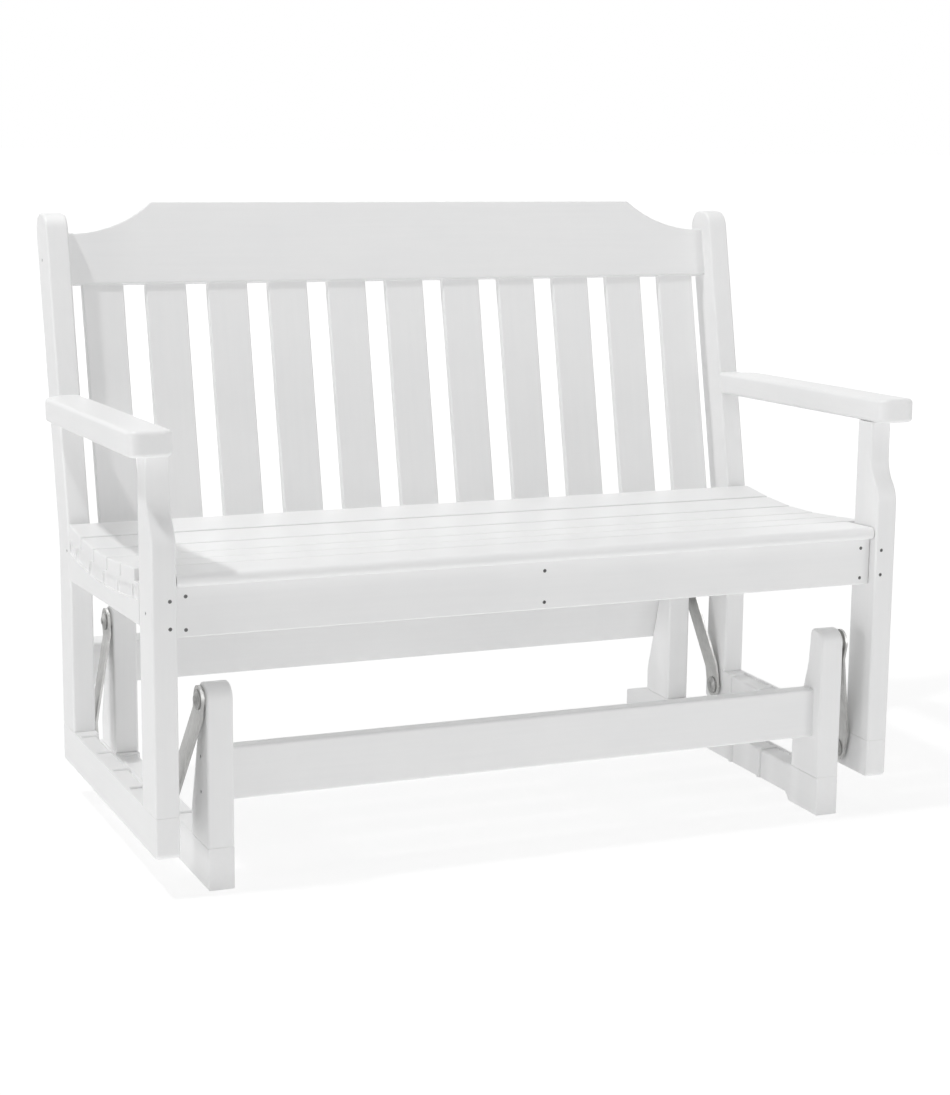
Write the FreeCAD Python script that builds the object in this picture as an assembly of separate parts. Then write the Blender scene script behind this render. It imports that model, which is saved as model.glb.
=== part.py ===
import FreeCAD, Part
import math
import os
from FreeCAD import Vector

# Porch glider: a slatted bench hung on four steel arms from a low floor base.
# Millimetres, +Z up, front towards -Y, origin on the floor at the middle of the overall box.

# Overall sizes
SEAT_WIDTH = 1200.0
SEAT_FRAME_DEPTH = 526.0
BACK_LENGTH = 559.0
RECLINE = math.radians(12.8)
LUMBER = 38.0
EASE = 4.5
BOARD_EASE = 3.0
SEAM_EASE = 1.0

# Floor base
BASE_SETBACK = 15.0
BASE_OVERREACH = 47.0
BASE_SPREAD = SEAT_FRAME_DEPTH + BASE_OVERREACH
BASE_LUMBER = 42.0
BASE_POST_FOOT = 92.0
BASE_POST_WAIST = 46.0
BASE_POST_HEAD = 40.0
BASE_POST_HEEL = 42.0
BASE_POST_KNEE = 4.0
BASE_POST_CAP = 24.5
BASE_POST_FRONT_ROUND = 0.62 * BASE_POST_HEAD
BASE_POST_BACK_ROUND = 0.27 * BASE_POST_HEAD
BASE_POST_BEND_ROUND = 60.0
BASE_SIDE_GAP = 46.5
RUNNER_HEIGHT = 67.0
RUNNER_TAIL = 88.0
RUNNER_TAIL_HEIGHT = 44.0
RUNNER_ARCH = 12.0
RUNNER_ARCH_RUN = 10.0
RUNNER_ARCH_ROUND = 8.0
RUNNER_SKIN = 12.0
RUNNER_FOOT = 93.0
STRETCHER_THICK = 28.0
STRETCHER_HEIGHT = 84.0
FRONT_STRETCHER_RISE = 67.5
FRONT_STRETCHER_SETBACK = 22.0
REAR_STRETCHER_RISE = 105.5
REAR_STRETCHER_OVERHANG = 25.0

# Hanger arms and their pivots
HANGER_DROP = 202.5
HANGER_LEAN = 50.0
STRAP_WIDTH = 44.0
STRAP_THICK = 4.0
STRAP_FLAT_HEAD = 24.0
STRAP_FLAT_FOOT = 36.0
STRAP_BEND_ROUND = 12.0
BOLT_DIAMETER = 10.0
BOLT_GRIP = 30.0
BOLT_END = 0.8
NUT_DIAMETER = 26.0
NUT_TOP = 14.0
NUT_HEIGHT = 3.2
WASHER_DIAMETER = 32.0
WASHER_THICK = 1.5
SPACER_THICK = 3.5
RUN_CLEARANCE = 0.06
LOOP_CLEARANCE = 3.0
SIDE_CLEARANCE = 0.4

# Seat side frames
RAIL_Z = 63.0
RAIL_HEIGHT = 65.0
RAIL_END_ROUND = 8.0
RAIL_RIB_FRONT = 30.0
RAIL_RIB_BACK = 52.0
LEG_DEPTH = 76.0
LEG_NECK = 46.0
NECK_ABOVE_SEAT = 62.0
NECK_RISE = 78.0
POST_DEPTH = 76.0
POST_BEND_DROP = 33.0
POST_BEND_ROUND = 160.0
POST_TOP_ROUND = 0.4 * POST_DEPTH

# Seat boards, laid on a dished curve
SLAT_COUNT = 6
SLAT_GAP = 7.0
SLAT_THICK = 20.0
SLAT_SIDE_GAP = 1.5
SEAT_TUCK = 6.0
SEAT_NOSE_SETBACK = 17.0
NOSE_OVERHANG = 12.0
NOSE_ROUND = 9.0
DISH_FROM_BACK = 176.0
DISH_RISE = 24.0
DISH_RUN_ON = 26.0

# Seat frame under the boards
APRON_CLEARANCE = 76.5
APRON_DROP = 75.0
APRON_SETBACK = 19.0
APRON_THICK = 38.0
SIDE_RAIL_DROP_FRONT = 66.0
SIDE_RAIL_DROP_BACK = 86.0
SIDE_RIB_COUNT = 5
SIDE_RIB_PITCH = 91.0
SUPPORT_DROP = 68.0
CORNER_BLOCK_LENGTH = 39.0

# Back
BACK_SLAT_COUNT = 11
BACK_SLAT_MARGIN = 24.5
BACK_SLAT_WIDTH = 70.5
BACK_SLAT_THICK = 15.0
BACK_SLAT_SETBACK = 37.0
BACK_SLAT_FOOT = -46.0
BACK_RAIL_THICK = 34.0
BACK_RAIL_FOOT = -40.0
BACK_RAIL_HEAD = 30.0
CREST_SETBACK = 32.0
CREST_THICK = 26.0
CREST_ABOVE_POST = 26.0
CREST_SHOULDER_DROP = 27.0
CREST_DROP = 113.0
CREST_SCREW_DROP = 70.0
CREST_SHOULDER_RUN = 140.0
CREST_SHOULDER_INSET = 10.0
CREST_MORTISE = 20.0

# Armrests
ARM_THICK = 40.0
ARM_WIDTH = 68.0
ARM_ABOVE_SEAT = 241.0
ARM_SLOPE = math.radians(2.2)
ARM_CORNER = 18.0
ARM_EDGE = 7.0
ARM_REAR_RUN = 45.0

# Moulded ribs and pockets
RIB_PITCH = 107.0
RIB_WIDTH = 10.0
RIB_CORNER = 8.0
RIB_EASE = 3.0
RIB_RIM = 6.0
POCKET_DEPTH = 4.0
POCKET_COVE = 2.5
POCKET_ROUND = 8.0
POCKET_RIB = 6.0
POCKET_LIP = 2.0
SIDE_POCKET_WALL = 4.0
SIDE_POCKET_DROP = 48.5

# Screws
SCREW_HEAD = 6.0
SCREW_HEAD_DEEP = 3.0
SCREW_SHANK = 3.6
SCREW_LONG = 55.0
LEG_SCREW_LONG = 100.0
SCREW_DRIVE = 2.6
SCREW_DRIVE_DEEP = 2.0
SCREW_SINK = 0.6
SCREW_EDGE = 12.0
SCREW_INSET = 18.0
LEG_SCREW_INSET = 11.0
LEG_SCREW_EDGE = 19.0
LEG_SCREW_PITCH = 42.0
STRETCHER_SCREW_EDGE = 14.0

# Places across, from the middle outwards
FRAME_IN = SEAT_WIDTH / 2
FRAME_OUT = FRAME_IN + LUMBER
BASE_OUT = FRAME_IN - BASE_SIDE_GAP
BASE_IN = BASE_OUT - BASE_LUMBER
STRAP_HIGH_X = BASE_OUT + SPACER_THICK + SIDE_CLEARANCE
STRAP_LOW_X = FRAME_IN - SPACER_THICK - SIDE_CLEARANCE - STRAP_THICK
CREST_DIP_X = FRAME_IN - CREST_SHOULDER_INSET
CREST_FLAT_HALF = CREST_DIP_X - CREST_SHOULDER_RUN
BACK_SLAT_PITCH = (SEAT_WIDTH - 2 * BACK_SLAT_MARGIN - BACK_SLAT_WIDTH) / (BACK_SLAT_COUNT - 1)

# Places front to back
FRONT_Y = -(BASE_SETBACK + BASE_SPREAD + BASE_POST_FOOT + RUNNER_TAIL) / 2
BASE_FRONT_Y = FRONT_Y + BASE_SETBACK
BASE_REAR_POST_Y = BASE_FRONT_Y + BASE_SPREAD
RUNNER_TAIL_Y = BASE_REAR_POST_Y + BASE_POST_FOOT + RUNNER_TAIL
LEG_BACK_Y = FRONT_Y + LEG_DEPTH
POST_FRONT_Y = FRONT_Y + SEAT_FRAME_DEPTH
POST_BACK_Y = POST_FRONT_Y + POST_DEPTH
APRON_FRONT_Y = FRONT_Y + APRON_SETBACK
APRON_BACK_Y = APRON_FRONT_Y + APRON_THICK
SEAT_BACK_Y = POST_FRONT_Y + SEAT_TUCK
SEAT_NOSE_Y = FRONT_Y + SEAT_NOSE_SETBACK
SLAT_PITCH = (SEAT_BACK_Y - SEAT_NOSE_Y) / SLAT_COUNT
DISH_LOW_Y = SEAT_BACK_Y - DISH_FROM_BACK
DISH_SPAN = DISH_LOW_Y - SEAT_NOSE_Y + DISH_RUN_ON
ARM_REAR_Y = POST_FRONT_Y + ARM_REAR_RUN

# Heights, from the floor up
RAIL_TOP = RAIL_Z + RAIL_HEIGHT
PIVOT_LOW_Z = RAIL_Z + RAIL_HEIGHT / 2
PIVOT_HIGH_Z = PIVOT_LOW_Z + HANGER_DROP
BASE_POST_TOP_Z = PIVOT_HIGH_Z + BASE_POST_CAP
FRONT_STRETCHER_Z = RUNNER_HEIGHT + FRONT_STRETCHER_RISE
REAR_STRETCHER_Z = RUNNER_HEIGHT + REAR_STRETCHER_RISE
BASE_POST_HEEL_Z = RUNNER_HEIGHT + BASE_POST_HEEL
BASE_POST_KNEE_Z = REAR_STRETCHER_Z + STRETCHER_HEIGHT + BASE_POST_KNEE
APRON_BOTTOM_Z = BASE_POST_TOP_Z + APRON_CLEARANCE
DISH_LOW_Z = APRON_BOTTOM_Z + APRON_DROP
SIDE_RAIL_FRONT_Z = DISH_LOW_Z - SIDE_RAIL_DROP_FRONT
SIDE_RAIL_BACK_Z = DISH_LOW_Z - SIDE_RAIL_DROP_BACK
SUPPORT_BOTTOM_Z = DISH_LOW_Z - SUPPORT_DROP
NECK_START_Z = DISH_LOW_Z + NECK_ABOVE_SEAT
ARM_FRONT_TOP_Z = DISH_LOW_Z + ARM_ABOVE_SEAT
POST_BEND_Z = DISH_LOW_Z - POST_BEND_DROP
POST_TOP_Z = POST_BEND_Z + BACK_LENGTH * math.cos(RECLINE)

# Height and depth of a base post up its back: upright heel, sloping waist, slim head
BASE_POST_STEPS = (
    (RUNNER_HEIGHT, BASE_POST_FOOT),
    (BASE_POST_HEEL_Z, BASE_POST_FOOT),
    (BASE_POST_KNEE_Z, BASE_POST_WAIST),
    (BASE_POST_TOP_Z, BASE_POST_HEAD),
)

# Places along the reclined back, from the bend in the posts
CREST_TOP = BACK_LENGTH + CREST_ABOVE_POST
CREST_SHOULDER = BACK_LENGTH - CREST_SHOULDER_DROP
CREST_BOTTOM = BACK_LENGTH - CREST_DROP
CREST_SCREW = BACK_LENGTH - CREST_SCREW_DROP

X_AXIS = Vector(1, 0, 0)
Y_AXIS = Vector(0, 1, 0)
Z_AXIS = Vector(0, 0, 1)
ORIGIN = Vector(0, 0, 0)
UP_BACK = Vector(0, math.sin(RECLINE), math.cos(RECLINE))
BACKWARD = Vector(0, math.cos(RECLINE), -math.sin(RECLINE))
BACK_ORIGIN = Vector(0, POST_FRONT_Y, POST_BEND_Z)


def block(x0, x1, y0, y1, z0, z1):
    return Part.makeBox(x1 - x0, y1 - y0, z1 - z0, Vector(x0, y0, z0))


def outline(points):
    # A closed face from corner points; a middle entry (mid, end) draws an arc to end through mid
    edges = []
    last = points[0]
    for point in points[1:] + [points[0]]:
        if isinstance(point, tuple):
            edges.append(Part.Arc(last, point[0], point[1]).toShape())
            last = point[1]
        else:
            edges.append(Part.makeLine(last, point))
            last = point
    return Part.Face(Part.Wire(edges))


def side_profile(points, x0, x1):
    # Extrudes an outline given as (y, z) corners from x0 to x1
    return outline([Vector(x0, y, z) for y, z in points]).extrude(Vector(x1 - x0, 0, 0))


def edges_along(shape, axis, test=None):
    found = []
    for edge in shape.Edges:
        ends = [vertex.Point for vertex in edge.Vertexes]
        if len(ends) < 2:
            continue
        run = ends[1].sub(ends[0])
        if run.Length > 0 and abs(run.dot(axis)) > 0.999 * run.Length:
            middle = ends[0].add(ends[1]).multiply(0.5)
            if test is None or test(middle):
                found.append(edge)
    return found


def edges_in(shape, axis, *places):
    # The outline edges that lie in the planes at the given places along an axis
    found = []
    for edge in shape.Edges:
        spots = [vertex.Point.dot(axis) for vertex in edge.Vertexes]
        if any(all(abs(spot - place) < 1e-6 for spot in spots) for place in places):
            found.append(edge)
    return found


def eased(shape, edges=None, radius=EASE):
    return shape.makeFillet(radius, shape.Edges if edges is None else edges)


def seamed(shape, z):
    # Lightly eases the rim of the face at height z, where the next board is butted on
    return eased(shape, edges_in(shape, Z_AXIS, z), SEAM_EASE)


def mirrored(shape):
    return shape.mirror(ORIGIN, X_AXIS)


def both_sides(shapes):
    return shapes + [mirrored(shape) for shape in shapes]


def pockets(x_open, depth, stations, low, high):
    # Shallow pockets between ribs at the stations, sunk from the face at x_open; depth is signed
    cutters = []
    x0, x1 = sorted((x_open, x_open + depth))
    for rib, following in zip(stations, stations[1:]):
        y0, y1 = rib + POCKET_RIB / 2, following - POCKET_RIB / 2
        cutter = side_profile([(y0, low(y0)), (y1, low(y1)), (y1, high(y1)), (y0, high(y0))], x0, x1)
        cutter = eased(cutter, edges_along(cutter, X_AXIS), POCKET_ROUND)
        cutters.append(eased(cutter, edges_in(cutter, X_AXIS, x_open + depth), POCKET_COVE))
    return cutters


def spaced(first, last, pitch):
    # Places a pitch apart from first, closed by last; the bay before last may be short or long
    count = max(1, round(abs(last - first) / pitch))
    step = pitch if last > first else -pitch
    return sorted([first + i * step for i in range(count)] + [last])


def ribbed(board, x_face, x_rim, low, top, stations):
    # Sinks the inner face and the top between the end stations, leaving rounded ribs that wrap over
    x_floor, z_floor = x_face + POCKET_DEPTH, top - POCKET_DEPTH
    corners = [(x_face, top), (x_face, low), (x_floor, low)]
    corners += [(x_floor, z_floor), (x_rim, z_floor), (x_rim, top)]
    face = outline([Vector(x, stations[0], z) for x, z in corners])
    trough = face.extrude(Vector(0, stations[-1] - stations[0], 0))
    bend = edges_along(trough, Y_AXIS, lambda p: abs(p.x - x_floor) < 1 and abs(p.z - z_floor) < 1)
    board = board.cut(eased(trough, bend, RIB_CORNER - POCKET_DEPTH))
    for y in stations:
        ends = (y - RIB_WIDTH / 2, y + RIB_WIDTH / 2)
        rib = block(x_face, x_rim, *ends, low, top)
        shoulder = edges_along(rib, Y_AXIS, lambda p: p.x < x_face + 1 and p.z > top - 1)
        rib = eased(rib, shoulder, RIB_CORNER)
        rims = [(edge, edge.CenterOfMass) for edge in edges_in(rib, Y_AXIS, *ends)]
        rims = [edge for edge, middle in rims if middle.x < x_rim - 1 and middle.z > low + 1]
        board = board.fuse(eased(rib, rims, RIB_EASE))
    return board.removeSplitter()


def cut_all(shape, cutters):
    return shape.cut(Part.makeCompound(cutters)) if cutters else shape


def screw(point, direction, length=SCREW_LONG):
    # A sunk screw; point is on the board's face, direction points into the board
    direction = Vector(direction)
    direction.normalize()
    seat = point.add(direction * SCREW_SINK)
    head = Part.makeCylinder(SCREW_HEAD / 2, SCREW_HEAD_DEEP, seat, direction)
    shank = Part.makeCylinder(SCREW_SHANK / 2, length, seat, direction)
    corner = Vector(-SCREW_DRIVE / 2, -SCREW_DRIVE / 2, 0)
    drive = Part.makeBox(SCREW_DRIVE, SCREW_DRIVE, SCREW_DRIVE_DEEP, corner)
    drive.Placement = FreeCAD.Placement(seat, FreeCAD.Rotation(Vector(0, 0, 1), direction))
    return head.fuse(shank).cut(drive)


def screw_hole(point, direction, length=SCREW_LONG):
    # The room a sunk screw takes up, with the sink above its head
    direction = Vector(direction)
    direction.normalize()
    head = Part.makeCylinder(SCREW_HEAD / 2, SCREW_SINK + SCREW_HEAD_DEEP, point, direction)
    shank = Part.makeCylinder(SCREW_SHANK / 2, SCREW_SINK + length, point, direction)
    return head.fuse(shank)


def dish_z(y):
    return DISH_LOW_Z + DISH_RISE * (1 - math.cos(math.pi * (y - DISH_LOW_Y) / DISH_SPAN)) / 2


def seam_y(index):
    return SEAT_BACK_Y - index * SLAT_PITCH


def seat_z(y):
    # Height of the seat's top: flat boards joining the points of the dished curve
    index = min(SLAT_COUNT - 1, max(0, int((SEAT_BACK_Y - y) // SLAT_PITCH)))
    back, front = seam_y(index), seam_y(index + 1)
    share = (back - y) / SLAT_PITCH
    return dish_z(back) + share * (dish_z(front) - dish_z(back))


def support_top(y0, y1):
    # Points along the underside of the seat boards from y0 back to y1
    seams = [seam_y(i) for i in range(SLAT_COUNT, -1, -1)]
    stops = [y0] + [y for y in seams if y0 < y < y1] + [y1]
    return [(y, seat_z(y) - SLAT_THICK) for y in stops]


def back_point(x, along, depth):
    return Vector(x, 0, 0).add(BACK_ORIGIN).add(UP_BACK * along).add(BACKWARD * depth)


def back_board(x0, x1, low, high, depth0, depth1):
    # A board lying in the reclined plane of the back
    corners = [(low, depth0), (high, depth0), (high, depth1), (low, depth1)]
    face = outline([back_point(x0, along, depth) for along, depth in corners])
    return face.extrude(Vector(x1 - x0, 0, 0))


def arm_under_z(y):
    return ARM_FRONT_TOP_Z - ARM_THICK / math.cos(ARM_SLOPE) - (y - FRONT_Y) * math.tan(ARM_SLOPE)


def base_post_back(front, z):
    for (low, depth), (high, next_depth) in zip(BASE_POST_STEPS, BASE_POST_STEPS[1:]):
        if z <= high:
            break
    return front + depth + (z - low) / (high - low) * (next_depth - depth)


def high_pivot_y(front):
    # The middle of a base post at the height of its pivot
    return (front + base_post_back(front, PIVOT_HIGH_Z)) / 2


# Front and rear pivots: on the base posts, and on the seat's bottom rails
HIGH_PIVOTS_Y = (high_pivot_y(BASE_FRONT_Y), high_pivot_y(BASE_REAR_POST_Y))
LOW_PIVOTS_Y = (HIGH_PIVOTS_Y[0] + HANGER_LEAN, HIGH_PIVOTS_Y[1] - HANGER_LEAN)


def make_bottom_rail():
    rail = block(FRAME_IN, FRAME_OUT, FRONT_Y, POST_BACK_Y, RAIL_Z, RAIL_TOP)
    low_ends = edges_along(rail, X_AXIS, lambda p: p.z < RAIL_Z + 1)
    rail = eased(rail, low_ends, RAIL_END_ROUND)
    sides = edges_in(rail, X_AXIS, FRAME_IN, FRAME_OUT)
    rail = eased(rail, [edge for edge in sides if edge.CenterOfMass.z < RAIL_TOP - 1])
    rail = seamed(rail, RAIL_TOP)
    front, back = LOW_PIVOTS_Y
    stations = spaced(back - RAIL_RIB_BACK, front + RAIL_RIB_FRONT, RIB_PITCH)
    return ribbed(rail, FRAME_IN, FRAME_OUT - RIB_RIM, RAIL_Z + EASE + POCKET_LIP, RAIL_TOP, stations)


def make_front_leg():
    neck_y = LEG_BACK_Y - LEG_NECK
    mid_y, mid_z = (FRONT_Y + neck_y) / 2, NECK_START_Z + NECK_RISE / 2
    half_y, half_z = (neck_y - FRONT_Y) / 2, NECK_RISE / 2
    radius = (half_y ** 2 + half_z ** 2) / (2 * half_y)
    bow = radius * (1 - math.cos(math.asin(half_z / radius) / 2))
    rise = radius * math.sin(math.asin(half_z / radius) / 2)

    def at(y, z):
        return Vector(FRAME_IN, y, z)

    face = outline([
        at(FRONT_Y, RAIL_TOP),
        at(FRONT_Y, NECK_START_Z),
        (at(FRONT_Y + bow, NECK_START_Z + rise), at(mid_y, mid_z)),
        (at(neck_y - bow, NECK_START_Z + NECK_RISE - rise), at(neck_y, NECK_START_Z + NECK_RISE)),
        at(neck_y, arm_under_z(neck_y)),
        at(LEG_BACK_Y, arm_under_z(LEG_BACK_Y)),
        at(LEG_BACK_Y, RAIL_TOP),
    ])
    leg = face.extrude(Vector(LUMBER, 0, 0))
    top = arm_under_z(LEG_BACK_Y) - 1
    sides = edges_in(leg, X_AXIS, FRAME_IN, FRAME_OUT)
    leg = eased(leg, [edge for edge in sides if RAIL_TOP + 1 < edge.CenterOfMass.z < top])
    return seamed(leg, RAIL_TOP)


def make_rear_leg_blank():
    top = (POST_TOP_Z - POST_BEND_Z) * math.tan(RECLINE)
    leg = side_profile([
        (POST_FRONT_Y, RAIL_TOP),
        (POST_FRONT_Y, POST_BEND_Z),
        (POST_FRONT_Y + top, POST_TOP_Z),
        (POST_BACK_Y + top, POST_TOP_Z),
        (POST_BACK_Y, POST_BEND_Z),
        (POST_BACK_Y, RAIL_TOP),
    ], FRAME_IN, FRAME_OUT)
    leg = eased(leg, edges_along(leg, X_AXIS, lambda p: p.z > POST_TOP_Z - 1), POST_TOP_ROUND)
    return eased(leg, edges_along(leg, X_AXIS, lambda p: abs(p.z - POST_BEND_Z) < 1), POST_BEND_ROUND)


def make_rear_leg(blank):
    sides = edges_in(blank, X_AXIS, FRAME_IN, FRAME_OUT)
    leg = eased(blank, [edge for edge in sides if edge.CenterOfMass.z > RAIL_TOP + 1])
    return seamed(leg, RAIL_TOP)


def make_side_rail():
    corners = support_top(LEG_BACK_Y, POST_FRONT_Y)
    corners += [(POST_FRONT_Y, SIDE_RAIL_BACK_Z), (LEG_BACK_Y, SIDE_RAIL_FRONT_Z)]
    rail = side_profile(corners, FRAME_IN, FRAME_OUT)
    low = [edge for edge in edges_in(rail, X_AXIS, FRAME_OUT) if edge.CenterOfMass.z < SIDE_RAIL_FRONT_Z]
    rail = eased(rail, low)
    middle = (LEG_BACK_Y + POST_FRONT_Y) / 2
    ribs = [middle + (i - (SIDE_RIB_COUNT - 1) / 2) * SIDE_RIB_PITCH for i in range(SIDE_RIB_COUNT)]
    stations = [LEG_BACK_Y] + [y for y in ribs if LEG_BACK_Y < y < POST_FRONT_Y] + [POST_FRONT_Y]

    def pocket_low(y):
        return seat_z(y) - SIDE_POCKET_DROP

    def pocket_high(y):
        return seat_z(y) - SLAT_THICK - SIDE_POCKET_WALL

    return cut_all(rail, pockets(FRAME_OUT, -POCKET_DEPTH, stations, pocket_low, pocket_high))


def make_seat_slat(index):
    back = seam_y(index) - SLAT_GAP / 2
    front = seam_y(index + 1) + SLAT_GAP / 2
    reach = FRAME_OUT
    if index == SLAT_COUNT - 1:
        front = seam_y(index + 1) - NOSE_OVERHANG
        reach = FRAME_IN - SLAT_SIDE_GAP
    slat = side_profile([
        (front, seat_z(front)),
        (back, seat_z(back)),
        (back, seat_z(back) - SLAT_THICK),
        (front, seat_z(front) - SLAT_THICK),
    ], -reach, reach)
    if index == SLAT_COUNT - 1:
        slat = eased(slat, edges_along(slat, X_AXIS, lambda p: p.y < front + 1), NOSE_ROUND)
        return eased(slat, edges_along(slat, X_AXIS, lambda p: p.y > back - 1), BOARD_EASE)
    under = 0.75 * SLAT_THICK
    upper = [edge for edge in slat.Edges if edge.CenterOfMass.z > seat_z(edge.CenterOfMass.y) - under]
    slat = eased(slat, upper, BOARD_EASE)
    if index == 0:
        low, high = seat_z(back) - 2 * SLAT_THICK, seat_z(back) + SLAT_THICK
        notch = block(FRAME_IN - SLAT_SIDE_GAP, FRAME_OUT, POST_FRONT_Y, SEAT_BACK_Y, low, high)
        slat = cut_all(slat, both_sides([notch]))
    return slat


def make_apron():
    corners = support_top(APRON_FRONT_Y, APRON_BACK_Y)
    corners += [(APRON_BACK_Y, APRON_BOTTOM_Z), (APRON_FRONT_Y, APRON_BOTTOM_Z)]
    apron = side_profile(corners, -FRAME_IN, FRAME_IN)
    apron = eased(apron, edges_along(apron, Z_AXIS, lambda p: p.y < APRON_FRONT_Y + 1), BOARD_EASE)
    return eased(apron, edges_along(apron, X_AXIS, lambda p: p.z < APRON_BOTTOM_Z + 1), BOARD_EASE)


def make_corner_block():
    back = APRON_BACK_Y + CORNER_BLOCK_LENGTH
    low = APRON_BOTTOM_Z + EASE * 2
    corners = support_top(APRON_BACK_Y, back) + [(back, low), (APRON_BACK_Y, low)]
    return side_profile(corners, FRAME_IN - LUMBER, FRAME_IN)


def make_back_rail():
    front = BACK_SLAT_SETBACK - BACK_RAIL_THICK
    return back_board(-FRAME_IN, FRAME_IN, BACK_RAIL_FOOT, BACK_RAIL_HEAD, front, BACK_SLAT_SETBACK)


def make_center_support(back_rail):
    back = SEAT_BACK_Y + EASE
    corners = support_top(APRON_BACK_Y, back)
    corners += [(back, SUPPORT_BOTTOM_Z), (APRON_BACK_Y, SUPPORT_BOTTOM_Z)]
    return side_profile(corners, -LUMBER / 2, LUMBER / 2).cut(back_rail)


def make_back_slat(index):
    middle = (index - (BACK_SLAT_COUNT - 1) / 2) * BACK_SLAT_PITCH
    half = BACK_SLAT_WIDTH / 2
    depth = BACK_SLAT_SETBACK
    high = CREST_BOTTOM + CREST_MORTISE
    sides = (middle - half, middle + half)
    slat = back_board(*sides, BACK_SLAT_FOOT, high, depth, depth + BACK_SLAT_THICK)
    return eased(slat, edges_along(slat, UP_BACK), BOARD_EASE)


def make_crest(slats):
    depth = CREST_SETBACK
    rise = CREST_TOP - CREST_SHOULDER
    radius = (CREST_SHOULDER_RUN ** 2 + rise ** 2) / (2 * rise)
    mid_x = (CREST_DIP_X + CREST_FLAT_HALF) / 2
    mid_v = CREST_SHOULDER + radius - math.sqrt(radius ** 2 - (CREST_DIP_X - mid_x) ** 2)

    def at(x, along):
        return back_point(x, along, depth)

    face = outline([
        at(-FRAME_IN, CREST_BOTTOM),
        at(FRAME_IN, CREST_BOTTOM),
        at(FRAME_IN, CREST_SHOULDER),
        at(CREST_DIP_X, CREST_SHOULDER),
        (at(mid_x, mid_v), at(CREST_FLAT_HALF, CREST_TOP)),
        at(-CREST_FLAT_HALF, CREST_TOP),
        (at(-mid_x, mid_v), at(-CREST_DIP_X, CREST_SHOULDER)),
        at(-FRAME_IN, CREST_SHOULDER),
    ])
    crest = face.extrude(BACKWARD * CREST_THICK)
    corner = edges_along(crest, BACKWARD, lambda p: abs(abs(p.x) - CREST_FLAT_HALF) < 1)
    crest = eased(crest, corner, NOSE_ROUND)
    rims = [edge for edge in crest.Edges if abs(edge.CenterOfMass.x) < FRAME_IN - 1]
    rims = [edge for edge in rims if edge not in edges_along(crest, BACKWARD)]
    crest = eased(crest, rims, BOARD_EASE)
    return cut_all(crest, slats)


def make_armrest(leg_blank):
    outer = FRAME_IN + ARM_WIDTH
    low = arm_under_z(FRONT_Y)
    rear_round = ARM_WIDTH - LUMBER
    turn = rear_round * (1 - math.sqrt(0.5))

    def at(x, y):
        return Vector(x, y, low)

    plan = outline([
        at(FRAME_IN, FRONT_Y),
        at(outer, FRONT_Y),
        at(outer, ARM_REAR_Y - rear_round),
        (at(outer - turn, ARM_REAR_Y - turn), at(FRAME_OUT, ARM_REAR_Y)),
        at(FRAME_OUT, ARM_REAR_Y + POST_DEPTH / 2),
        at(FRAME_IN, ARM_REAR_Y + POST_DEPTH / 2),
    ])
    arm = plan.extrude(Vector(0, 0, ARM_THICK))
    corners = edges_along(arm, Z_AXIS, lambda p: p.y < FRONT_Y + 1)
    arm = eased(arm, corners, ARM_CORNER)
    half = ARM_THICK / 2
    rims = [edge for edge in arm.Edges if abs(edge.CenterOfMass.z - low - half) > half - 1]
    rims = [edge for edge in rims if edge.CenterOfMass.y < ARM_REAR_Y + 1]
    arm = eased(arm, rims, ARM_EDGE)
    arm.rotate(Vector(0, FRONT_Y, low), X_AXIS, -math.degrees(ARM_SLOPE))
    return arm.cut(leg_blank)


def make_runner():
    foot_front = BASE_FRONT_Y + RUNNER_FOOT
    foot_back = RUNNER_TAIL_Y - RUNNER_FOOT
    runner = side_profile([
        (BASE_FRONT_Y, 0),
        (RUNNER_TAIL_Y, 0),
        (RUNNER_TAIL_Y, RUNNER_TAIL_HEIGHT),
        (BASE_REAR_POST_Y + BASE_POST_FOOT, RUNNER_HEIGHT),
        (BASE_FRONT_Y, RUNNER_HEIGHT),
    ], BASE_IN, BASE_OUT)
    runner = eased(runner, edges_in(runner, X_AXIS, BASE_IN, BASE_OUT), BOARD_EASE)
    arch_front, arch_back = foot_front + RUNNER_ARCH_RUN, foot_back - RUNNER_ARCH_RUN
    arch = [(foot_front, 0), (arch_front, RUNNER_ARCH), (arch_back, RUNNER_ARCH), (foot_back, 0)]
    undercut = side_profile(arch, BASE_IN, BASE_OUT - RUNNER_SKIN)
    step = edges_along(undercut, X_AXIS, lambda p: p.z > RUNNER_ARCH - 1)
    first = max(arch_front, BASE_FRONT_Y + BASE_POST_FOOT + RIB_WIDTH / 2)
    stations = spaced(first, BASE_REAR_POST_Y - RIB_WIDTH / 2, RIB_PITCH)
    runner = ribbed(runner, BASE_IN, BASE_OUT - RIB_RIM, 0, RUNNER_HEIGHT, stations)
    return runner.cut(eased(undercut, step, RUNNER_ARCH_ROUND))


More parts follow.
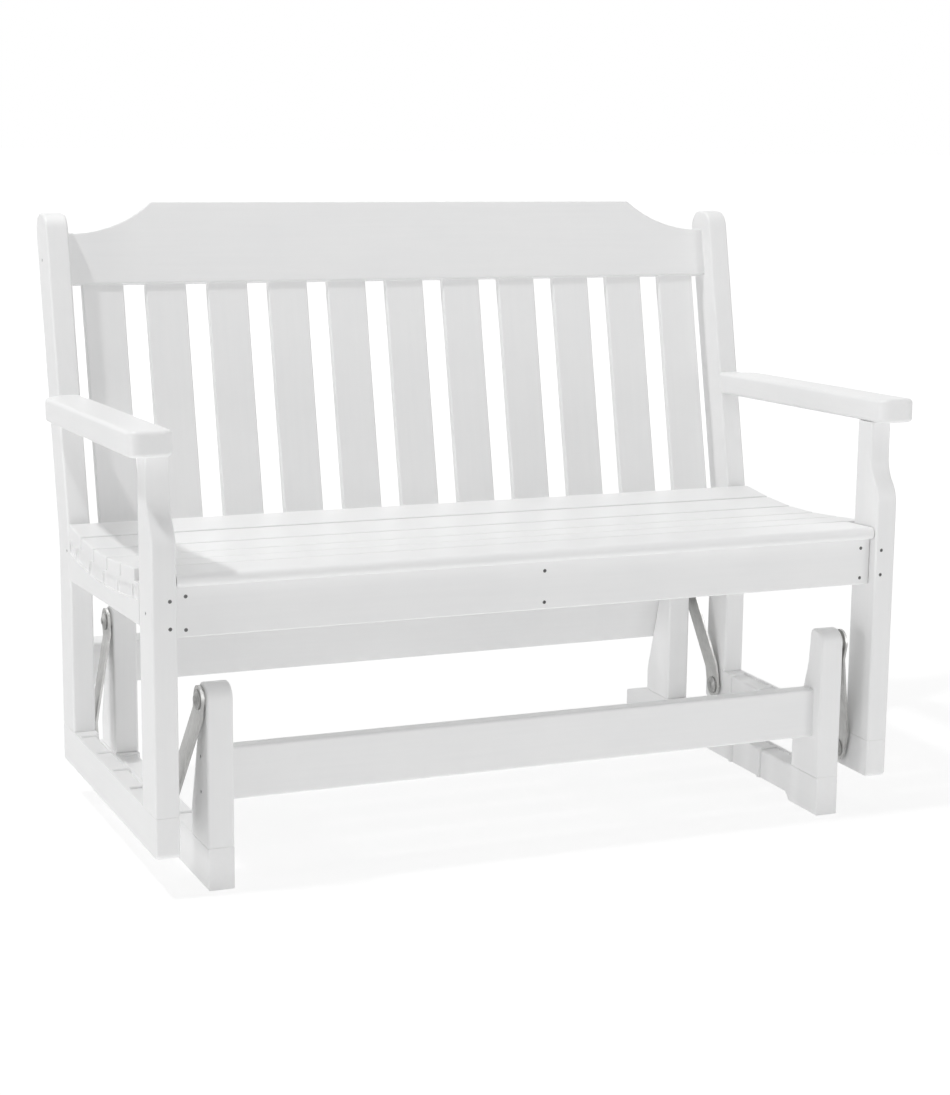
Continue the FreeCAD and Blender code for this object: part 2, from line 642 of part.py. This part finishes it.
def make_base_post(front):
    corners = [(front, BASE_POST_TOP_Z), (front, RUNNER_HEIGHT)]
    corners += [(front + depth, z) for z, depth in BASE_POST_STEPS]
    post = side_profile(corners, BASE_IN, BASE_OUT)
    bends = edges_along(post, X_AXIS, lambda p: RUNNER_HEIGHT + 1 < p.z < BASE_POST_TOP_Z - 1)
    post = eased(post, bends, BASE_POST_BEND_ROUND)
    top = BASE_POST_TOP_Z - 1
    front_edge = edges_along(post, X_AXIS, lambda p: p.z > top and p.y < front + 1)
    post = eased(post, front_edge, BASE_POST_FRONT_ROUND)
    back_edge = edges_along(post, X_AXIS, lambda p: p.z > top and p.y > front + BASE_POST_HEAD - 1)
    post = eased(post, back_edge, BASE_POST_BACK_ROUND)
    sides = edges_in(post, X_AXIS, BASE_IN, BASE_OUT)
    post = eased(post, [edge for edge in sides if edge.CenterOfMass.z > RUNNER_HEIGHT + 1])
    return seamed(post, RUNNER_HEIGHT)


def make_front_stretcher():
    front = BASE_FRONT_Y + FRONT_STRETCHER_SETBACK
    low = FRONT_STRETCHER_Z
    bar = block(-BASE_IN, BASE_IN, front, front + STRETCHER_THICK, low, low + STRETCHER_HEIGHT)
    return eased(bar, edges_along(bar, X_AXIS))


def rear_stretcher_frame():
    # Foot point, upward and backward directions of the bar on the sloping backs of the rear posts
    low = Vector(0, base_post_back(BASE_REAR_POST_Y, REAR_STRETCHER_Z), REAR_STRETCHER_Z)
    high_z = REAR_STRETCHER_Z + STRETCHER_HEIGHT
    up = Vector(0, base_post_back(BASE_REAR_POST_Y, high_z), high_z).sub(low)
    up.normalize()
    return low, up, Vector(0, up.z, -up.y)


def make_rear_stretcher():
    low, up, back = rear_stretcher_frame()
    half = BASE_OUT + REAR_STRETCHER_OVERHANG
    start = low.sub(Vector(half, 0, 0))
    corners = [start, start.add(up * STRETCHER_HEIGHT)]
    corners += [corners[1].add(back * STRETCHER_THICK), start.add(back * STRETCHER_THICK)]
    return eased(outline(corners).extrude(Vector(2 * half, 0, 0)))


def make_hanger(high_y, low_y, low_clearance):
    # Built pointing straight down from the upper pivot, then swung to its rest angle
    length = math.hypot(low_y - high_y, HANGER_DROP)
    half = STRAP_WIDTH / 2
    path = [
        (STRAP_HIGH_X, half),
        (STRAP_HIGH_X, -STRAP_FLAT_HEAD),
        (STRAP_LOW_X, STRAP_FLAT_FOOT - length),
        (STRAP_LOW_X, -length - half),
    ]
    near = [Vector(x, -half, z) for x, z in path]
    far = [point.add(Vector(STRAP_THICK, 0, 0)) for point in reversed(near)]
    strap = outline(near + far).extrude(Vector(0, STRAP_WIDTH, 0))
    bends = edges_along(strap, Y_AXIS, lambda p: -length - half + 1 < p.z < half - 1)
    strap = eased(strap, bends, STRAP_BEND_ROUND)
    reach = STRAP_LOW_X + STRAP_THICK - STRAP_HIGH_X
    start = Vector(STRAP_HIGH_X, 0, 0)
    ends = [Part.makeCylinder(half, reach, start.add(Vector(0, 0, z)), X_AXIS) for z in (0, -length)]
    body = Part.makeBox(reach, STRAP_WIDTH, length, Vector(STRAP_HIGH_X, -half, -length))
    strap = strap.common(body.fuse(ends[0]).fuse(ends[1]).removeSplitter())
    for z, clearance in ((0, RUN_CLEARANCE), (-length, low_clearance)):
        radius = BOLT_DIAMETER / 2 + clearance
        strap = strap.cut(Part.makeCylinder(radius, reach, start.add(Vector(0, 0, z)), X_AXIS))
    strap.rotate(ORIGIN, X_AXIS, math.degrees(math.atan2(low_y - high_y, HANGER_DROP)))
    strap.translate(Vector(0, high_y, PIVOT_HIGH_Z))
    return strap


def washer(point, direction, thick):
    ring = Part.makeCylinder(WASHER_DIAMETER / 2, thick, point, direction)
    return ring.cut(Part.makeCylinder(BOLT_DIAMETER / 2, thick, point, direction))


def pivot_washers(point, direction):
    # A thick spacer against the timber, a thin washer under the nut, with the strap running between them
    outer = point.add(direction * (SPACER_THICK + STRAP_THICK + 2 * SIDE_CLEARANCE))
    return [washer(point, direction, SPACER_THICK), washer(outer, direction, WASHER_THICK)]


def pivot_bolt(point, direction):
    # A bolt with a low round nut, its end showing in the middle
    seat = point.add(direction * (SPACER_THICK + STRAP_THICK + 2 * SIDE_CLEARANCE + WASHER_THICK))
    nut = Part.makeCone(NUT_DIAMETER / 2, NUT_TOP / 2, NUT_HEIGHT, seat, direction)
    foot = point.sub(direction * BOLT_GRIP)
    reach = seat.add(direction * (NUT_HEIGHT + BOLT_END)).sub(foot).Length
    return Part.makeCylinder(BOLT_DIAMETER / 2, reach, foot, direction).fuse(nut)


def bolt_hole(point, direction):
    return Part.makeCylinder(BOLT_DIAMETER / 2, BOLT_GRIP, point.sub(direction * BOLT_GRIP), direction)


# Screws as (point on the face, direction into the board, length), right-hand side or middle
apron_heights = (APRON_BOTTOM_Z + SCREW_EDGE, APRON_BOTTOM_Z + APRON_DROP - SCREW_EDGE)
apron_columns = (-FRAME_IN + SCREW_INSET, 0, FRAME_IN - SCREW_INSET)
apron_points = [Vector(x, APRON_FRONT_Y, z) for x in apron_columns for z in apron_heights]
apron_spots = [(point, Y_AXIS, SCREW_LONG) for point in apron_points]

leg_low_z = APRON_BOTTOM_Z + LEG_SCREW_EDGE
leg_points = [Vector(FRAME_IN + LEG_SCREW_INSET, FRONT_Y, leg_low_z + i * LEG_SCREW_PITCH) for i in (0, 1)]
leg_spots = [(point, Y_AXIS, LEG_SCREW_LONG) for point in leg_points]

side_points = [
    Vector(FRAME_OUT, (APRON_FRONT_Y + APRON_BACK_Y) / 2, APRON_BOTTOM_Z + APRON_DROP / 2),
    back_point(FRAME_OUT, 0, BACK_SLAT_SETBACK - BACK_RAIL_THICK / 2),
    back_point(FRAME_OUT, CREST_SCREW, CREST_SETBACK + CREST_THICK / 2),
]
side_spots = [(point, -X_AXIS, SCREW_LONG) for point in side_points]

stretcher_rows = (STRETCHER_SCREW_EDGE, STRETCHER_HEIGHT - STRETCHER_SCREW_EDGE)
stretcher_mid_y = BASE_FRONT_Y + FRONT_STRETCHER_SETBACK + STRETCHER_THICK / 2
bar_foot, bar_up, bar_back = rear_stretcher_frame()
bar_face = bar_foot.add(bar_back * STRETCHER_THICK).add(Vector((BASE_IN + BASE_OUT) / 2, 0, 0))
base_spots = []
for row in stretcher_rows:
    base_spots.append((Vector(BASE_OUT, stretcher_mid_y, FRONT_STRETCHER_Z + row), -X_AXIS, SCREW_LONG))
    base_spots.append((bar_face.add(bar_up * row), -bar_back, SCREW_LONG))

# Right-hand and middle pieces, before drilling
back_rail = make_back_rail()
leg_blank = make_rear_leg_blank()
back_slats = [make_back_slat(i) for i in range(BACK_SLAT_COUNT)]
base_pivots = [Vector(BASE_OUT, y, PIVOT_HIGH_Z) for y in HIGH_PIVOTS_Y]
seat_pivots = [Vector(FRAME_IN, y, PIVOT_LOW_Z) for y in LOW_PIVOTS_Y]
right = {
    "base_runner": make_runner(),
    "base_front_post": make_base_post(BASE_FRONT_Y),
    "base_rear_post": make_base_post(BASE_REAR_POST_Y),
    "hanger_arm_front": make_hanger(HIGH_PIVOTS_Y[0], LOW_PIVOTS_Y[0], RUN_CLEARANCE),
    "hanger_arm_rear": make_hanger(HIGH_PIVOTS_Y[1], LOW_PIVOTS_Y[1], LOOP_CLEARANCE),
    "seat_bottom_rail": make_bottom_rail(),
    "front_leg": make_front_leg(),
    "rear_leg": make_rear_leg(leg_blank),
    "seat_side_rail": make_side_rail(),
    "seat_corner_block": make_corner_block(),
    "armrest": make_armrest(leg_blank),
}
middle = {
    "base_front_stretcher": make_front_stretcher(),
    "base_rear_stretcher": make_rear_stretcher(),
    "front_apron": make_apron(),
    "seat_center_support": make_center_support(back_rail),
    "lower_back_rail": back_rail,
    "crest_rail": make_crest(back_slats),
}
for i in range(SLAT_COUNT):
    middle["seat_slat_%d" % (i + 1)] = make_seat_slat(i)
for i in range(BACK_SLAT_COUNT):
    middle["back_slat_%d" % (i + 1)] = back_slats[i]

# Drilling
side_holes = [screw_hole(*spot) for spot in leg_spots + side_spots]
apron_holes = [screw_hole(*spot) for spot in apron_spots]
base_holes = [screw_hole(*spot) for spot in base_spots]
base_bores = [bolt_hole(point, X_AXIS) for point in base_pivots]
seat_bores = [bolt_hole(point, -X_AXIS) for point in seat_pivots]
for name in ("front_leg", "rear_leg", "seat_side_rail", "seat_corner_block"):
    right[name] = cut_all(right[name], side_holes + apron_holes)
for name in ("base_front_post", "base_rear_post"):
    right[name] = cut_all(right[name], base_holes + base_bores)
right["seat_bottom_rail"] = cut_all(right["seat_bottom_rail"], seat_bores)
for name in ("front_apron", "seat_center_support", "lower_back_rail", "crest_rail"):
    middle[name] = cut_all(middle[name], apron_holes + both_sides(side_holes))
for name in ("base_front_stretcher", "base_rear_stretcher"):
    middle[name] = cut_all(middle[name], both_sides(base_holes))

# Fasteners, alike ones together
base_rings = [ring for point in base_pivots for ring in pivot_washers(point, X_AXIS)]
seat_rings = [ring for point in seat_pivots for ring in pivot_washers(point, -X_AXIS)]
groups = {
    "apron_screws": [screw(*spot) for spot in apron_spots],
    "leg_front_screws": both_sides([screw(*spot) for spot in leg_spots]),
    "leg_side_screws": both_sides([screw(*spot) for spot in side_spots]),
    "base_screws": both_sides([screw(*spot) for spot in base_spots]),
    "base_pivot_bolts": both_sides([pivot_bolt(point, X_AXIS) for point in base_pivots]),
    "seat_pivot_bolts": both_sides([pivot_bolt(point, -X_AXIS) for point in seat_pivots]),
    "base_pivot_washers": both_sides(base_rings),
    "seat_pivot_washers": both_sides(seat_rings),
}

os.makedirs("parts", exist_ok=True)
for name, shape in right.items():
    shape.exportStep("parts/%s_right.step" % name)
    mirrored(shape).exportStep("parts/%s_left.step" % name)
for name, shape in middle.items():
    shape.exportStep("parts/%s.step" % name)
for name, shapes in groups.items():
    Part.makeCompound(shapes).exportStep("parts/%s.step" % name)
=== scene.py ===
import math

import bpy
from mathutils import Matrix, Vector

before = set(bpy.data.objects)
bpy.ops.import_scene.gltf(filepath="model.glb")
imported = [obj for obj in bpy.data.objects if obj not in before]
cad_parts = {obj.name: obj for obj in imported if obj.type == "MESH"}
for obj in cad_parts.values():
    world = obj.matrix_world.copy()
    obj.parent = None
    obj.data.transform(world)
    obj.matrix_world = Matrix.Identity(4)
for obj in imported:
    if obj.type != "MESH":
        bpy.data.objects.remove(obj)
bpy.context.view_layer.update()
scene = bpy.context.scene
scene.view_settings.view_transform = "Standard"

# Photograph size in pixels, and the camera solved from the bench's straight edges (metres, degrees, pixels)
PHOTO_WIDTH = 950
PHOTO_HEIGHT = 1095
CAMERA_POSITION = (-1.54567, -3.8668, 1.24452)
CAMERA_AZIMUTH = 26.0067
CAMERA_DOWN = 11.7316
CAMERA_ROLL = 1.3941
CAMERA_REACH = 200
FOCAL_PIXELS = 2460.38
CENTRE_PIXEL = (636.85, 580.33)

# Range of noise values that roughness follows, and the lumber's tones
NOISE_SPAN = (0.3, 0.7)

# White plastic lumber: noise scales are cells per metre, bump depth is in metres
RECLINE = 12.8
GRAIN_ALONG = 6
GRAIN_ACROSS = 160
PEEL_SCALE = 420.0
CLOUD_SCALE = 7.0
CLOUD_SHARE = 0.55
PEEL_SHARE = 0.4
LUMBER_DARK = (0.882, 0.884, 0.886)
LUMBER_LIGHT = (0.918, 0.918, 0.916)
LUMBER_ROUGHNESS = (0.30, 0.40)
LUMBER_BUMP = 0.12
LUMBER_BUMP_DEPTH = 0.0006

# Steel: dark and light tones, and scratches as cells per metre along each axis
TARNISH_SCALE = 35.0
TARNISH_SHARE = 0.5
STEEL_TONE_SPAN = (0.32, 0.68)
STEEL_ROUGHNESS = (0.46, 0.30)
STEEL_BUMP = 0.10
STEEL_BUMP_DEPTH = 0.0003
STRAP_DARK = (0.56, 0.56, 0.55)
STRAP_LIGHT = (0.76, 0.76, 0.745)
STRAP_SCRATCHES = (300, 300, 12)
BOLT_DARK = (0.36, 0.36, 0.355)
BOLT_LIGHT = (0.66, 0.66, 0.65)
SCREW_DARK = (0.16, 0.16, 0.16)
SCREW_LIGHT = (0.30, 0.30, 0.30)
TURNED_SCRATCHES = (90, 90, 90)

# Studio: strengths where 1 is white, and the floor's distances in metres
WHITE = (1, 1, 1, 1)
WORLD_LIGHT = 0.27
WORLD_SEEN = 1.0
FLOOR_SIZE = 60
FLOOR_PAPER = (0.92, 0.92, 0.92, 1)
# Glow of the floor for lighting rays: painted bounce light on the bench, added to the paper's real bounce
FLOOR_BOUNCE_GLOW = 0.36
FLOOR_MIRRORED = 0.63
FLOOR_SHADE = (0.30, 0.30, 0.30, 1)
FLOOR_NEAR = 1.0
FLOOR_FAR = 5.0
FLOOR_NEAR_GLOW = 0.77
FLOOR_FAR_GLOW = 1.0

# Lamps: name, position, aim, edge length in metres, watts, and whether it shows in reflections
LAMPS = (
    ("key", (-2.75, -0.15, 5.6), (0, 0, 0.5), 0.3, 106, True),
    ("top_fill", (0, 0.5, 5.0), (0, 0, 0.5), 4.0, 66, True),
    ("left_fill", (-7.0, -1.5, 0.5), (0, 0, 0.4), 2.0, 76, True),
    ("front_fill", (2.5, -5.0, 3.5), (0, 0, 0.5), 3.0, 36, True),
    ("right_fill", (2.2, -2.6, 0.9), (0.2, 0, 0.4), 0.8, 6, True),
    ("rear_fill", (1.0, 7.0, 2.6), (0, 0, 0.5), 5.0, 70, False),
)

# Words in the names of the boards that run upright, and from front to back
UPRIGHT = ("leg", "post")
FRONT_TO_BACK = ("runner", "bottom_rail", "side_rail", "armrest", "support")


def add_camera():
    azimuth = math.radians(CAMERA_AZIMUTH)
    down = math.radians(CAMERA_DOWN)
    roll = math.radians(CAMERA_ROLL)
    forward = Vector((
        math.sin(azimuth) * math.cos(down),
        math.cos(azimuth) * math.cos(down),
        -math.sin(down),
    ))
    level = Vector((math.cos(azimuth), -math.sin(azimuth), 0))
    upright = level.cross(forward)
    right = level * math.cos(roll) + upright * math.sin(roll)
    up = upright * math.cos(roll) - level * math.sin(roll)
    data = bpy.data.cameras.new("camera")
    longest = max(PHOTO_WIDTH, PHOTO_HEIGHT)
    data.lens = FOCAL_PIXELS / longest * data.sensor_width
    data.shift_x = (PHOTO_WIDTH / 2 - CENTRE_PIXEL[0]) / longest
    data.shift_y = (CENTRE_PIXEL[1] - PHOTO_HEIGHT / 2) / longest
    data.clip_end = CAMERA_REACH
    camera = bpy.data.objects.new("camera", data)
    turn = Matrix((right, up, -forward)).transposed().to_4x4()
    camera.matrix_world = Matrix.Translation(CAMERA_POSITION) @ turn
    scene.collection.objects.link(camera)
    scene.camera = camera


class Nodes:
    """Short calls for building one node tree. An input is named, or given by its place as i0, i1, i2."""

    def __init__(self, tree):
        self.tree = tree
        tree.nodes.clear()

    def add(self, kind, settings=None, **inputs):
        node = self.tree.nodes.new(kind)
        for key, value in (settings or {}).items():
            setattr(node, key, value)
        for key, value in inputs.items():
            self.feed(node, key, value)
        return node

    def feed(self, node, key, value):
        by_place = key[0] == "i" and key[1:].isdigit()
        socket = node.inputs[int(key[1:]) if by_place else key.replace("_", " ")]
        if isinstance(value, bpy.types.NodeSocket):
            self.tree.links.new(value, socket)
        else:
            socket.default_value = value

    def place(self):
        return self.add("ShaderNodeTexCoord").outputs["Object"]

    def mapping(self, vector, **inputs):
        return self.add("ShaderNodeMapping", Vector=vector, **inputs).outputs[0]

    def noise(self, vector, scale, detail, roughness):
        node = self.add("ShaderNodeTexNoise", Vector=vector, Scale=scale, Detail=detail, Roughness=roughness)
        return node.outputs["Fac"]

    def blend(self, share, first, second):
        return self.add("ShaderNodeMix", {"data_type": "FLOAT"}, i0=share, i2=first, i3=second).outputs[0]

    def remap(self, value, span, result):
        node = self.add(
            "ShaderNodeMapRange", Value=value,
            From_Min=span[0], From_Max=span[1], To_Min=result[0], To_Max=result[1],
        )
        return node.outputs[0]

    def tones(self, value, span, dark, light):
        node = self.add("ShaderNodeValToRGB", Fac=value)
        for element, position, colour in zip(node.color_ramp.elements, span, (dark, light)):
            element.position = position
            element.color = (*colour, 1)
        return node.outputs[0]

    def bump(self, height, strength, depth):
        return self.add("ShaderNodeBump", Strength=strength, Distance=depth, Height=height).outputs[0]

    def emission(self, strength):
        return self.add("ShaderNodeEmission", Color=WHITE, Strength=strength).outputs[0]

    def diffuse(self, colour):
        return self.add("ShaderNodeBsdfDiffuse", Color=colour).outputs[0]

    def background(self, strength):
        return self.add("ShaderNodeBackground", Color=WHITE, Strength=strength).outputs[0]

    def sum(self, first, second):
        return self.add("ShaderNodeAddShader", i0=first, i1=second).outputs[0]

    def pick(self, share, first, second):
        return self.add("ShaderNodeMixShader", i0=share, i1=first, i2=second).outputs[0]

    def by_ray(self, lighting, mirrored, seen):
        """Picks a shader by what the ray is for: lighting a surface, a reflection, or the picture itself."""
        path = self.add("ShaderNodeLightPath")
        unseen = self.pick(path.outputs["Is Glossy Ray"], lighting, mirrored)
        return self.pick(path.outputs["Is Camera Ray"], unseen, seen)


def new_material(name):
    material = bpy.data.materials.new(name)
    material.use_nodes = True
    return material, Nodes(material.node_tree)


def lumber(name, grain, turn=0.0):
    """White satin moulded plastic board with a faint grain along one axis."""
    material, n = new_material(name)
    turned = n.mapping(n.place(), Rotation=(math.radians(turn), 0, 0))
    stretched = n.mapping(turned, Scale=grain)
    streaks = n.noise(stretched, scale=1.0, detail=5.0, roughness=0.6)
    peel = n.noise(turned, PEEL_SCALE, detail=2.0, roughness=0.5)
    clouds = n.noise(turned, CLOUD_SCALE, detail=3.0, roughness=0.55)
    mixed = n.blend(CLOUD_SHARE, streaks, clouds)
    shader = n.add(
        "ShaderNodeBsdfPrincipled",
        Base_Color=n.tones(mixed, NOISE_SPAN, LUMBER_DARK, LUMBER_LIGHT),
        Roughness=n.remap(mixed, NOISE_SPAN, LUMBER_ROUGHNESS),
        Normal=n.bump(n.blend(PEEL_SHARE, streaks, peel), LUMBER_BUMP, LUMBER_BUMP_DEPTH),
    )
    n.add("ShaderNodeOutputMaterial", Surface=shader.outputs[0])
    return material


def steel(name, light, dark, grain):
    """Brushed steel with fine scratches and slight tarnish."""
    material, n = new_material(name)
    place = n.place()
    scratches = n.noise(n.mapping(place, Scale=grain), scale=1.0, detail=6.0, roughness=0.7)
    tarnish = n.noise(place, TARNISH_SCALE, detail=4.0, roughness=0.6)
    mixed = n.blend(TARNISH_SHARE, scratches, tarnish)
    shader = n.add(
        "ShaderNodeBsdfPrincipled",
        Base_Color=n.tones(mixed, STEEL_TONE_SPAN, dark, light),
        Roughness=n.remap(mixed, NOISE_SPAN, STEEL_ROUGHNESS),
        Normal=n.bump(scratches, STEEL_BUMP, STEEL_BUMP_DEPTH),
        Metallic=1.0,
    )
    n.add("ShaderNodeOutputMaterial", Surface=shader.outputs[0])
    return material


def dress(node, material):
    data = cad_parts[node].data
    data.materials.clear()
    data.materials.append(material)


def add_world():
    world = bpy.data.worlds.new("studio")
    scene.world = world
    world.use_nodes = True
    n = Nodes(world.node_tree)
    white = n.background(WORLD_SEEN)
    n.add("ShaderNodeOutputWorld", Surface=n.by_ray(n.background(WORLD_LIGHT), white, white))


def add_floor():
    """White floor that keeps a faint shadow near the bench and turns pure white farther out."""
    bpy.ops.mesh.primitive_plane_add(size=FLOOR_SIZE)
    floor = bpy.context.object
    floor.name = "floor"
    material, n = new_material("floor")
    # For lighting rays the floor glows as well, a painted bounce light under and around the bench
    lighting = n.sum(n.diffuse(FLOOR_PAPER), n.emission(FLOOR_BOUNCE_GLOW))
    away = n.add("ShaderNodeVectorMath", {"operation": "LENGTH"}, i0=n.place()).outputs["Value"]
    glow = n.remap(away, (FLOOR_NEAR, FLOOR_FAR), (FLOOR_NEAR_GLOW, FLOOR_FAR_GLOW))
    seen = n.sum(n.diffuse(FLOOR_SHADE), n.emission(glow))
    n.add("ShaderNodeOutputMaterial", Surface=n.by_ray(lighting, n.emission(FLOOR_MIRRORED), seen))
    floor.data.materials.append(material)


def add_lamp(name, position, target, size, power, mirrored):
    data = bpy.data.lights.new(name, "AREA")
    data.size = size
    data.energy = power
    lamp = bpy.data.objects.new(name, data)
    turn = (Vector(target) - Vector(position)).to_track_quat("-Z", "Y").to_matrix().to_4x4()
    lamp.matrix_world = Matrix.Translation(position) @ turn
    lamp.visible_glossy = mirrored
    scene.collection.objects.link(lamp)


LUMBER_X = lumber("lumber_across", (GRAIN_ALONG, GRAIN_ACROSS, GRAIN_ACROSS))
LUMBER_Y = lumber("lumber_front_to_back", (GRAIN_ACROSS, GRAIN_ALONG, GRAIN_ACROSS))
LUMBER_Z = lumber("lumber_upright", (GRAIN_ACROSS, GRAIN_ACROSS, GRAIN_ALONG))
LUMBER_BACK = lumber("lumber_reclined", (GRAIN_ACROSS, GRAIN_ACROSS, GRAIN_ALONG), RECLINE)
STRAP = steel("strap_steel", STRAP_LIGHT, STRAP_DARK, STRAP_SCRATCHES)
BOLT = steel("bolt_steel", BOLT_LIGHT, BOLT_DARK, TURNED_SCRATCHES)
SCREW = steel("screw_steel", SCREW_LIGHT, SCREW_DARK, TURNED_SCRATCHES)

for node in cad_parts:
    if node.startswith("hanger_arm"):
        dress(node, STRAP)
    elif "pivot" in node:
        dress(node, BOLT)
    elif node.endswith("_screws"):
        dress(node, SCREW)
    elif node.startswith("back_slat"):
        dress(node, LUMBER_BACK)
    elif any(word in node for word in UPRIGHT):
        dress(node, LUMBER_Z)
    elif any(word in node for word in FRONT_TO_BACK):
        dress(node, LUMBER_Y)
    else:
        dress(node, LUMBER_X)

add_camera()
add_world()
add_floor()
for lamp in LAMPS:
    add_lamp(*lamp)
